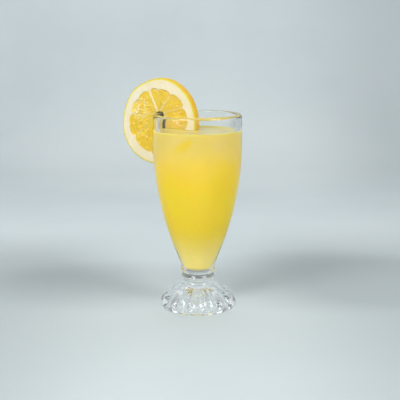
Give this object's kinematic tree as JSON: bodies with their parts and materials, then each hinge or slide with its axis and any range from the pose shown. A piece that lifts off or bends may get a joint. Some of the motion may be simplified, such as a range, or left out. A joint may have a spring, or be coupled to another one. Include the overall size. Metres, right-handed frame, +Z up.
{
  "type": "glass of lemon juice",
  "caption": "Clear footed soda glass with a scalloped base, filled with cloudy yellow lemon juice, a slit lemon wheel hung on its rim.",
  "frame": {"origin": "on the table, at the middle of the footprint of the whole object's box; the glass's own axis stands 14.8 mm to the right of it, because the lemon wheel hangs out to the left", "axes": "+Z up along the glass's axis, -Y towards the front that the picture shows, +X to the right; the lemon wheel hangs at the back left of the rim, in a vertical plane through the glass's axis"},
  "size_m": [0.1086, 0.079, 0.2058],
  "materials": {
    "clear_glass": "clear, polished",
    "cloudy_juice": "cloudy liquid with a smooth surface",
    "lemon_flesh": "moist cut lemon in a waxy rind"
  },
  "bodies": {
    "root": {"glass": "clear_glass", "lemon_juice": "cloudy_juice", "lemon_wheel": "lemon_flesh"}
  },
  "joints": []
}
